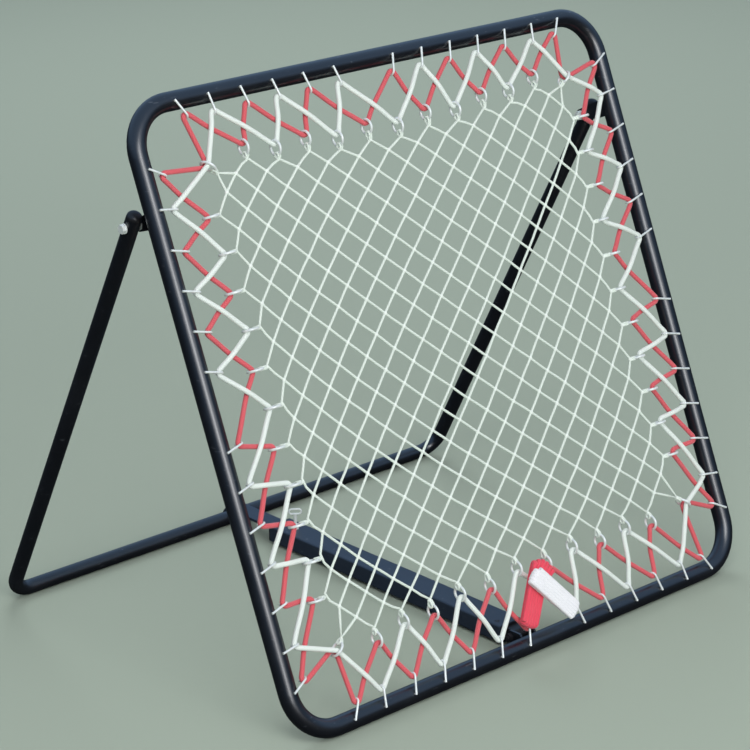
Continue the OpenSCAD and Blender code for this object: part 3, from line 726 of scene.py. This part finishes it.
def ring_loops():
    """The twine that goes twice from each edge knot over the steel ring's wire and back behind it."""
    loops = []
    for side in range(4):
        rings = [(side_knot(side, q), -SIDE_IN[side], tie(q)) for q in range(RINGS)]
        rings.append((corner_knot(side), unit(CORNER_OUT[side]), CORNER_TIE))
        for start, out, far in rings:
            r = RING_R + TIE_R + TIE_GAP
            for aside in (-TIE_ASIDE, TIE_ASIDE):
                root = start + turn_left(out) * aside
                path = [(*root, CORD_N - TIE_ROOT)]
                for a in np.linspace(-TIE_WRAP, TIE_WRAP, TIE_POINTS):
                    path.append((*(root + out * (far + r * math.cos(a))), CORD_N + r * math.sin(a)))
                path.append((*root, CORD_N + TIE_ROOT))
                loops.append(on_frame(path))
    return loops


def net_tree():
    """Slightly wavy twine along every edge of a mesh, and a knot on every point."""
    tree = Tree("net_work", Radius=2.2 * MM, Sides=6, Knot=3.5 * MM, Wave=2.5 * MM, Material=TWINE)
    add, given = tree.add, tree.given.outputs
    strand = add("GeometryNodeMeshToCurve", inputs={"Mesh": given["Geometry"]})
    strand = add("GeometryNodeResampleCurve", inputs={"Curve": strand, "Count": 5})
    rough = add("ShaderNodeTexNoise", {"noise_dimensions": "3D"}, {"Scale": 22.0, "Detail": 1.0}, "Color")
    shift = add("ShaderNodeVectorMath", {"operation": "SUBTRACT"}, {0: rough, 1: (0.5, 0.5, 0.5)})
    shift = add("ShaderNodeVectorMath", {"operation": "SCALE"}, {0: shift, "Scale": given["Wave"]})
    wavy = add("GeometryNodeSetPosition", inputs={"Geometry": strand, "Offset": shift})
    tubes = swept(tree, wavy, given["Radius"], given["Sides"])
    points = add("GeometryNodeMeshToPoints", inputs={"Mesh": given["Geometry"]})
    shifted = add("GeometryNodeSetPosition", inputs={"Geometry": points, "Offset": shift})
    ball = add("GeometryNodeMeshIcoSphere", inputs={"Radius": given["Knot"], "Subdivisions": 2})
    knots = add("GeometryNodeInstanceOnPoints", inputs={"Points": shifted, "Instance": ball})
    both = add("GeometryNodeJoinGeometry", output=None)
    tree.tree.links.new(tubes, both.inputs[0])
    tree.tree.links.new(knots, both.inputs[0])
    return tree.finish(both.outputs[0])


knots, strands = net_strands()
net_lines = bpy.data.meshes.new("net_lines")
net_lines.from_pydata([tuple(p) for p in on_frame(knots)], strands, [])
net = net_tree().make("net_mesh", net_lines)
finish_piece(net, "net_twine", "net")

loop_tree = cord_tree("loop_sweep", TWINE, TIE_R * MM, 8)
loops = loop_tree.make("ring_loops", path_mesh("loop_lines", ring_loops(), False))
finish_piece(loops, "net_twine")


# ---------- floor and light ----------

def plain_floor(half=30.0, drop=0.0004):
    """A pale floor just under the ground bar, which the paint's shine sees as dark."""
    f = Finish("pale_floor")
    seen = f.node("ShaderNodeLightPath", output="Is Glossy Ray")
    f.set(Base_Color=f.mix(seen, (0.38, 0.44, 0.36), (0.012, 0.014, 0.012)), Roughness=0.95)
    mesh = bpy.data.meshes.new("floor")
    corners = [(-half, -half, 0), (half, -half, 0), (half, half, 0), (-half, half, 0)]
    mesh.from_pydata(corners, [], [(0, 1, 2, 3)])
    floor = bpy.data.objects.new("floor", mesh)
    floor.location.z = -drop
    floor.data.materials.append(f.material)
    bpy.context.scene.collection.objects.link(floor)


def soft_box(name, place, target, size, power, colour=(1, 1, 1), mirrored=False):
    """A lamp with a soft rectangular face; only a mirrored one shows in the paint's shine."""
    lamp = bpy.data.lights.new(name, "AREA")
    lamp.shape = "RECTANGLE"
    lamp.size, lamp.size_y = size
    lamp.energy = power
    lamp.color = colour
    box = bpy.data.objects.new(name, lamp)
    box.location = place
    way = Vector(target) - Vector(place)
    box.rotation_euler = way.to_track_quat("-Z", "Y").to_euler()
    box.visible_glossy = mirrored
    bpy.context.scene.collection.objects.link(box)


def studio_world():
    """Even light on the object; in its shine the room is dark low down and blue above."""
    world = bpy.data.worlds.new("studio")
    world.use_nodes = True
    tree = world.node_tree
    paint = tree.nodes["Background"]
    way = tree.nodes.new("ShaderNodeTexCoord")
    apart = tree.nodes.new("ShaderNodeSeparateXYZ")
    height = tree.nodes.new("ShaderNodeMapRange")
    ray = tree.nodes.new("ShaderNodeLightPath")
    colour = tree.nodes.new("ShaderNodeMix")
    colour.data_type = "RGBA"
    strength = tree.nodes.new("ShaderNodeMix")
    tree.links.new(way.outputs["Generated"], apart.inputs[0])
    tree.links.new(apart.outputs[2], height.inputs["Value"])
    for name, value in (("From Min", 0.0), ("From Max", 0.4), ("To Min", 0.03), ("To Max", 0.6)):
        height.inputs[name].default_value = value
    tree.links.new(ray.outputs["Is Glossy Ray"], colour.inputs[0])
    colour.inputs[6].default_value = (0.86, 0.92, 1.0, 1)
    colour.inputs[7].default_value = (0.40, 0.64, 1.0, 1)
    tree.links.new(ray.outputs["Is Glossy Ray"], strength.inputs[0])
    strength.inputs[2].default_value = 0.42
    tree.links.new(height.outputs[0], strength.inputs[3])
    tree.links.new(colour.outputs[2], paint.inputs[0])
    tree.links.new(strength.outputs[0], paint.inputs[1])
    bpy.context.scene.world = world


plain_floor()
studio_world()
soft_box("key_light", (-3.0, -3.0, 5.5), (0, 0, 0.4), (2.5, 2.5), 114)
soft_box("wide_light", (-1.15, -4.6, 2.3), (0, 0, 0.5), (5.0, 3.2), 67, mirrored=True)
soft_box("strip_light", (-1.14, -4.55, 2.28), (0, 0, 0.5), (1.7, 3.2), 75, mirrored=True)
soft_box("back_light", (3.0, 4.0, 4.5), (0, 0, 0.4), (3.0, 3.0), 130, (0.92, 0.96, 1.0))
bpy.context.scene.view_settings.view_transform = "Standard"
